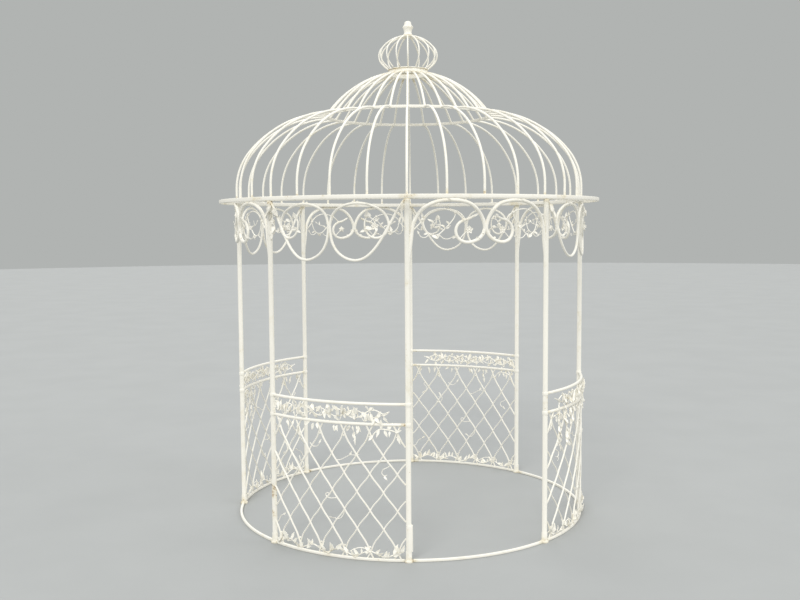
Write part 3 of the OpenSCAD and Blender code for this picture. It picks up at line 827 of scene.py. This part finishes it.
def between_rails(rng, iron, turn, mirror, way_in):
    """Two stems between the rails and their leaves, from one end of a panel. way_in flips the ends."""
    def stroke(points, depth, radius, steps=1):
        return bay_path([(way_in * x, z) for x, z in points], turn, depth, mirror, steps), radius

    strokes = [stroke(stem(-402, 301, vine_height), 0.001, iron.tendril),
               stroke(stem(-396, 331, second_height), -0.005, iron.tendril * 0.8)]
    spots = []
    for k in range(iron.vine_leaves):
        x = -0.398 + k * 0.665 / iron.vine_leaves + rng.uniform(-0.008, 0.008)
        size = rng.uniform(0.70, 1.25)
        z = LOW_RAIL_Z + 0.012 + 0.088 * ((k * 0.382) % 1)
        lean = rng.uniform(35, 80)
        rise = size * iron.leaf_length * math.sin(math.radians(lean))
        if z + rise > RAIL_Z - 0.004:
            way = -1
        elif z - rise < LOW_RAIL_Z + 0.006:
            way = 1
        else:
            way = rng.choice((-1, 1))
        spots.append((x, z, way * (lean if rng.random() < 0.5 else 180 - lean), size))
        root = x + rng.uniform(-0.020, 0.020)
        sway = (x + root) / 2 + rng.uniform(-0.008, 0.008)
        twig = [(root, vine_height(root)), (sway, (vine_height(root) + z) / 2), (x, z)]
        strokes.append(stroke(twig, STEM_LAYER, 0.0018, 3))
    spots += [(*spot, 0.95) for spot in BAND_END_LEAVES]
    if way_in < 0:
        spots = [(-x, z, 180 - heading, size) for x, z, heading, size in spots]
    return strokes, spots


def along_ground_bar(rng, iron, turn, mirror):
    """The stem on the ground bar, its leaves and its loop."""
    strokes = bent([stem(-398, 396, border_height)], iron.tendril, turn, STEM_LAYER, mirror, 1)
    strokes += bent([VINE_LOOP], iron.tendril * 0.8, turn, LEAF_LAYER, mirror)
    spots = []
    for k in range(44):
        x = -0.392 + k * 0.0181 + rng.uniform(-0.006, 0.006)
        tall = 1.25 if x < -0.24 or x > 0.32 or 0 < x < 0.04 else 0.95
        heading = rng.uniform(35, 145) if k % 4 else rng.uniform(-4, 34)
        spots.append((x, border_height(x) - 0.004, heading, rng.uniform(0.65, 1.15) * tall))
    return strokes, spots


def in_lattice(rng, turn, mirror, sprays):
    """Leaves and a twig under the lower rail and in the lattice, and the sprays that hang from the rail."""
    strokes = bent([SPRAY_TWIG], (0.0036, 0.0024), turn, TWIG_LAYER, mirror)
    spots = [(*spot, rng.uniform(0.75, 1.05)) for spot in UNDER_RAIL_LEAVES]
    spots += [(*spot, 0.62) for spot in CURL_LEAVES]
    for root in sprays:
        drop = [(root, LOW_RAIL_Z - 0.004), (root + 0.010, 0.700), (root - 0.006, 0.645),
                (root + 0.007, 0.590), (root, 0.552)]
        strokes += bent([drop], (0.0034, 0.0022), turn, LEAF_LAYER, mirror)
        for k in range(10):
            heading = -90 + (-1) ** k * rng.uniform(15, 50)
            x, z = root + 0.006 * math.sin(k * 1.7), 0.742 - 0.021 * k
            spots.append((x, z, heading, rng.uniform(0.8, 1.15)))
    return strokes, spots


class GAZEBO_OT_vines(bpy.types.Operator):
    """Grows the leafy stems between the rails and along the ground bar of each panel"""
    bl_idname = "gazebo.vines"
    bl_label = "Vines"

    def execute(self, context):
        iron = context.scene.gazebo_ironwork
        leaf = vine_leaf(iron, 1, 0.66, 0.14, 0.10)
        for place, turn in PANELS.items():
            mirror = place.endswith("right")
            way_in = -1 if place.startswith("back") else 1
            sprays = (0.198, 0.292) if place in ("front_right", "back_left") else ()
            rng = random.Random(turn)
            strokes, spots = between_rails(rng, iron, turn, mirror, way_in)
            for more_strokes, more_spots in (along_ground_bar(rng, iron, turn, mirror),
                                             in_lattice(rng, turn, mirror, sprays)):
                strokes += more_strokes
                spots += more_spots
            parts = [bars(strokes, 1), leaves(leaf, spots, turn, LEAF_LAYER, mirror, turn)]
            # The leaves get the brighter paint, painted light against their shade
            finish_piece("vine_" + place, parts, "panel_paint", "lit_leaf_paint", stands_in=False)
        bpy.data.objects.remove(leaf)
        return {'FINISHED'}


def scrollwork(kind, place, turn, heavy, fine, welds, weld_r, tip_r, leafage):
    """Bends a bay's scrolls from drawings of one half. Each is a path, its depth and its radius."""
    def both_halves(drawings):
        return [(bay_path(path, turn, depth, mirror), radius)
                for mirror in (False, True) for path, depth, radius in drawings]

    tips = [path[-1] for path, radius in both_halves(heavy[-1:])]
    beads = [on_bay(x, z, turn) for x, z in welds]
    parts = [bars(both_halves(heavy), 4), bars(both_halves(fine), 1), knobs(beads, weld_r),
             knobs(tips, tip_r)]
    finish_piece(kind + place, parts + leafage, "scroll_paint")


class GAZEBO_OT_doorway_scrolls(bpy.types.Operator):
    """Bends the scrolled bows, tendrils and leaves over the four doorways"""
    bl_idname = "gazebo.doorway_scrolls"
    bl_label = "Doorway Scrolls"

    def execute(self, context):
        iron = context.scene.gazebo_ironwork
        leaf = vine_leaf(iron, 0.85, 0.62, 0.12, 0.08)
        petal = leaf_master(0.024, 0.020, iron.leaf_sheet, 0.04)
        heavy = [(BOW, 0, (iron.doorway_bar, iron.doorway_bar * 0.62))]
        fine = [(INNER, 0, (iron.tendril * 1.2, iron.tendril)), (LOOP, STEM_LAYER, iron.tendril)]
        fine += [(twig, TWIG_LAYER, TWIG_R) for twig in DOORWAY_TWIGS] + [(DOORWAY_STALK, 0.001, TWIG_R[0])]
        for place, turn in DOORWAYS.items():
            leafage = []
            for mirror in (False, True):
                leafage.append(leaves(leaf, DOORWAY_LEAVES, turn, LEAF_LAYER, mirror, turn + mirror))
                leafage.append(flower(petal, DOORWAY_FLOWER, turn, STEM_LAYER, mirror))
            scrollwork("arch_", place, turn, heavy, fine, DOORWAY_WELDS, 0.0094, 0.0078, leafage)
        bpy.data.objects.remove(leaf)
        bpy.data.objects.remove(petal)
        return {'FINISHED'}


class GAZEBO_OT_panel_scrolls(bpy.types.Operator):
    """Bends the hanging loops, ovals, leaves and flowers over the four panels"""
    bl_idname = "gazebo.panel_scrolls"
    bl_label = "Panel Scrolls"

    def execute(self, context):
        iron = context.scene.gazebo_ironwork
        leaf = vine_leaf(iron, 0.95, 0.80, 0.12, 0.10)
        petal = leaf_master(0.024, 0.018, iron.leaf_sheet, 0.04)
        heavy = [(ARM, 0, iron.scroll_bar), (OVAL, 0, (iron.scroll_bar, iron.scroll_bar * 0.55))]
        fine = [(twig, LEAF_LAYER, (0.0028, 0.0018)) for twig in PANEL_TWIGS]
        for place, turn in PANELS.items():
            leafage = []
            for mirror in (False, True):
                spots = PANEL_LEAVES
                if mirror == (place in ("back_right", "front_left")):
                    spots = PANEL_LEAVES + CORNER_LEAVES
                    leafage.append(flower(petal, CORNER_FLOWER, turn, 0.006, mirror))
                leafage.append(leaves(leaf, spots, turn, 0.005, mirror, turn + 7 + mirror))
                leafage.append(flower(petal, PANEL_FLOWER, turn, 0.006, mirror))
            scrollwork("swag_", place, turn, heavy, fine, PANEL_WELDS, 0.0074, 0.0068, leafage)
        bpy.data.objects.remove(leaf)
        bpy.data.objects.remove(petal)
        return {'FINISHED'}


def around(path, turn):
    """A path of radius and height, stood up at a turn from the front."""
    a = math.radians(turn)
    return [Vector((r * math.sin(a), -r * math.cos(a), z)) for r, z in path]


class GAZEBO_OT_rings(bpy.types.Operator):
    """Rolls the ring on the post heads and the wider brim with its short arms"""
    bl_idname = "gazebo.rings"
    bl_label = "Ring and Brim"

    def execute(self, context):
        ring = band(RING_OUT - 0.030, RING_OUT, POST_TOP, RING_TOP, BAR_CORNER, ROUND_STEPS)
        seats = [around([(RIB_CIRCLE, RING_TOP)], 90 + RIB_STEP * k)[0] for k in range(RIBS)]
        beads = knobs(seats, RING_WELD_R, BEAD_FLAT)
        finish_piece("ring", [ring, beads], "ring_paint")
        low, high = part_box("brim")[0][2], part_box("brim")[1][2]
        brim = band(BRIM_OUT - 0.010, BRIM_OUT, low, high, BAR_CORNER, ROUND_STEPS)
        z = (POST_TOP + RING_TOP) / 2
        arm = [(r, z) for r in (RING_OUT - 0.001, RING_OUT + 0.03, BRIM_OUT - 0.03, BRIM_OUT - 0.005)]
        turns = [90 + 360 * (k + 0.5) / BRIM_ARMS for k in range(BRIM_ARMS)]
        arms = bars([(around(arm, turn), ARM_R) for turn in turns], 2)
        finish_piece("brim", [brim, arms], "ring_paint")
        return {'FINISHED'}


def swept(run, rise, tight):
    """The radius of a flat arc over a run and a rise, and the angle where a tight arc takes over."""
    flat = ((run - tight) ** 2 + rise ** 2 - tight ** 2) / (2 * (rise - tight))
    return flat, math.atan2(flat - rise, run - tight)


def arc(x, z, r, start, end, steps):
    angles = [start + (end - start) * k / steps for k in range(steps + 1)]
    return [(x + r * math.cos(a), z + r * math.sin(a)) for a in angles]


def rib_profile():
    """The paths of a rib's two tiers, from the ring to the collar, as radius and height."""
    flat, turn = swept(RIB_CIRCLE - HOOP_R, LOWER_RISE, SHOULDER_R)
    upper_z = HOOP_Z - math.sqrt(UPPER_BEND ** 2 - HOOP_R ** 2)
    lower = [(RIB_CIRCLE, RING_TOP - 0.001), (RIB_CIRCLE, RING_TOP + RIB_STRAIGHT / 2)]
    lower += arc(RIB_CIRCLE - SHOULDER_R, BEND_Z, SHOULDER_R, 0, turn, 14)
    lower += arc(HOOP_R, HOOP_Z - flat, flat, turn, math.pi / 2, 12)[1:]
    upper = arc(0, upper_z, UPPER_BEND, math.acos(HOOP_R / UPPER_BEND),
                math.acos((COLLAR_OUT - 0.002) / UPPER_BEND), 18)
    return lower, upper


def rib_parts(turns, radius, bead_r):
    """Ribs of both tiers at some turns, each with two weld beads at the hoop."""
    lower, upper = rib_profile()
    strokes, welds = [], []
    for turn in turns:
        strokes += [(around(lower, turn), radius), (around(upper, turn), radius)]
        welds += around(RIB_WELDS, turn)
    return [bars(strokes, 4), knobs(welds, bead_r)]


class GAZEBO_OT_dome(bpy.types.Operator):
    """Bends the ribs of both dome tiers and the hoop between them"""
    bl_idname = "gazebo.dome"
    bl_label = "Dome"

    def execute(self, context):
        rib_r = context.scene.gazebo_ironwork.rib
        for place, turn in POSTS.items():
            finish_piece("rib_" + place, rib_parts([turn], rib_r, RIB_WELD_R), "dome_paint")
        for place, turn in DOME_BAYS.items():
            parts = rib_parts([turn - RIB_STEP, turn, turn + RIB_STEP], rib_r, RIB_WELD_R - 0.0002)
            parts.append(bay_band(HOOP_R, 0.005, HOOP_Z - HOOP_H / 2, HOOP_Z + HOOP_H / 2,
                                  THIN_CORNER, RIB_CLEAR, turn))
            finish_piece("dome_" + place, parts, "dome_paint")
        return {'FINISHED'}


def cage_profile():
    """The path of one bar of the onion cage, from the collar to the cap, as radius and height."""
    flat, turn = swept(CAGE_R, CAGE_RISE, CAGE_TIGHT)
    path = arc(0, CAGE_Z - CAGE_RISE + flat, flat, math.radians(-80), -turn, 10)
    path += arc(CAGE_R - CAGE_TIGHT, CAGE_Z, CAGE_TIGHT, -turn, turn, 18)[1:]
    path += arc(0, CAGE_TOP - flat, flat, turn, math.radians(84), 12)[1:]
    return [(r, z) for r, z in path if z >= COLLAR_TOP + 0.004]


class GAZEBO_OT_crown(bpy.types.Operator):
    """Makes the collar, the onion cage and the finial on top"""
    bl_idname = "gazebo.crown"
    bl_label = "Crown"

    def execute(self, context):
        iron = context.scene.gazebo_ironwork
        collar = band(COLLAR_OUT - 0.014, COLLAR_OUT, COLLAR_LOW, COLLAR_TOP, 0.004, ROUND_STEPS // 2)
        circle = [around([(COLLAR_OUT - 0.0015, COLLAR_LOW + 0.017)], 90 + 3.75 * k)[0] for k in range(96)]
        bead = bars([(circle, 0.0034)], 2, closed=True)
        finish_piece("collar", [collar, bead], "crown_paint")

        turns = [360 / CAGE_BARS * k + 90 for k in range(CAGE_BARS)]
        cage = bars([(around(cage_profile(), turn), iron.cage_bar) for turn in turns], 3)
        seat = band(COLLAR_OUT - 0.022, COLLAR_OUT + 0.004, COLLAR_TOP, COLLAR_TOP + 0.007,
                    THIN_CORNER, ROUND_STEPS // 2)
        cap = turned([(r, CAGE_TOP + z) for r, z in CAP_PROFILE])
        finish_piece("onion_cage", [cage, seat, cap], "crown_paint")

        foot = CAGE_TOP + 0.004
        parts = [turned([(r, foot + z) for r, z in FINIAL_PROFILE], sides=40)]
        petal = leaf_master(0.026, 0.017, 0.0018, 0.04)
        cup = (Matrix.Translation((0.0235, 0, foot + 0.036)) @ Matrix.Rotation(-0.95, 4, 'Y')
               @ Matrix.Scale(0.80, 4))
        parts += [moved_copy(petal, Matrix.Rotation(math.tau * k / 10, 4, 'Z') @ cup) for k in range(10)]
        bpy.data.objects.remove(petal)
        finish_piece("finial", parts, "crown_paint")
        return {'FINISHED'}


class GAZEBO_OT_studio(bpy.types.Operator):
    """Sets the pale floor, the soft lamps and the camera at the photo's viewing angle"""
    bl_idname = "gazebo.studio"
    bl_label = "Studio"

    def execute(self, context):
        scene = context.scene
        bpy.ops.mesh.primitive_circle_add(vertices=128, radius=40, fill_type='NGON',
                                          location=(0, 0, -0.0005))
        floor = context.object
        floor.name = "studio_floor"
        settle(floor)
        ground = bpy.data.materials.new("studio_floor")
        ground.use_nodes = True
        tree = ground.node_tree
        shader = tree.nodes["Principled BSDF"]
        place = add_node(tree, "TexCoord", {}).outputs["Object"]
        tone = spread(tree, cloud(tree, place, 1.3, 5.0), 0.3, 0.7)
        base = tuple(scene.gazebo_finish.floor)
        pale = tuple(c * 1.04 for c in base[:3]) + (1,)
        tree.links.new(blend_colour(tree, tone, base, pale), shader.inputs["Base Color"])
        shader.inputs["Roughness"].default_value = 0.85
        floor.data.materials.append(ground)

        world = bpy.data.worlds.new("studio_light")
        scene.world = world
        world.use_nodes = True
        tree = world.node_tree
        tree.nodes.clear()
        soft = add_node(tree, "Background", {"Color": SKY_COLOUR, "Strength": SKY_STRENGTH})
        seen = add_node(tree, "Background", {"Color": BACKGROUND})
        rays = add_node(tree, "LightPath", {})
        shows = maths(tree, 'MAXIMUM', rays.outputs["Is Camera Ray"], rays.outputs["Is Glossy Ray"])
        mix = add_node(tree, "MixShader", {0: shows, 1: soft.outputs[0], 2: seen.outputs[0]})
        add_node(tree, "OutputWorld", {"Surface": mix.outputs[0]})

        for name, (place, wide, strength) in LAMPS.items():
            bpy.ops.object.light_add(type='SUN', location=place)
            lamp = context.object
            lamp.name = name
            lamp.data.angle = math.radians(wide)
            lamp.data.energy = strength
            lamp.rotation_euler = (-Vector(place)).to_track_quat('-Z', 'Y').to_euler()

        bpy.ops.object.camera_add()
        camera = context.object
        camera.name = "photo_camera"
        camera.data.sensor_width = SENSOR_MM
        camera.data.sensor_fit = 'HORIZONTAL'
        camera.data.lens = SENSOR_MM * FOCAL_PX / PHOTO_WIDTH_PX
        camera.data.clip_end = 200
        ahead = Vector((math.sin(YAW) * math.cos(PITCH), math.cos(YAW) * math.cos(PITCH), -math.sin(PITCH)))
        level = Vector((math.cos(YAW), -math.sin(YAW), 0))
        upright = level.cross(ahead)
        right = math.cos(ROLL) * level + math.sin(ROLL) * upright
        up = math.cos(ROLL) * upright - math.sin(ROLL) * level
        pose = stood_at((0, -STAND, EYE), right, up, -ahead)
        camera.matrix_world = Matrix.Rotation(-CAMERA_TURN, 4, 'Z') @ pose
        scene.camera = camera
        scene.view_settings.view_transform = 'Standard'
        return {'FINISHED'}


class GAZEBO_PT_panel(bpy.types.Panel):
    bl_label = "Garden Gazebo"
    bl_idname = "GAZEBO_PT_panel"
    bl_space_type = 'VIEW_3D'
    bl_region_type = 'UI'
    bl_category = "Gazebo"

    def draw(self, context):
        layout = self.layout
        for group in (context.scene.gazebo_ironwork, context.scene.gazebo_finish):
            box = layout.box()
            for name in group.__annotations__:
                box.prop(group, name)
        for operator in OPERATORS:
            layout.operator(operator.bl_idname)


OPERATORS = (
    GAZEBO_OT_paint, GAZEBO_OT_posts, GAZEBO_OT_panels, GAZEBO_OT_vines, GAZEBO_OT_doorway_scrolls,
    GAZEBO_OT_panel_scrolls, GAZEBO_OT_rings, GAZEBO_OT_dome, GAZEBO_OT_crown, GAZEBO_OT_studio,
)
CLASSES = (GazeboIronwork, GazeboFinish) + OPERATORS + (GAZEBO_PT_panel,)


def register():
    for cls in CLASSES:
        bpy.utils.register_class(cls)
    bpy.types.Scene.gazebo_ironwork = PointerProperty(type=GazeboIronwork)
    bpy.types.Scene.gazebo_finish = PointerProperty(type=GazeboFinish)


def unregister():
    del bpy.types.Scene.gazebo_finish
    del bpy.types.Scene.gazebo_ironwork
    for cls in reversed(CLASSES):
        bpy.utils.unregister_class(cls)


def main():
    register()
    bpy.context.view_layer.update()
    bpy.ops.gazebo.paint()
    bpy.ops.gazebo.posts()
    bpy.ops.gazebo.panels()
    bpy.ops.gazebo.vines()
    bpy.ops.gazebo.doorway_scrolls()
    bpy.ops.gazebo.panel_scrolls()
    bpy.ops.gazebo.rings()
    bpy.ops.gazebo.dome()
    bpy.ops.gazebo.crown()
    bpy.ops.gazebo.studio()


if __name__ == "__main__":
    main()
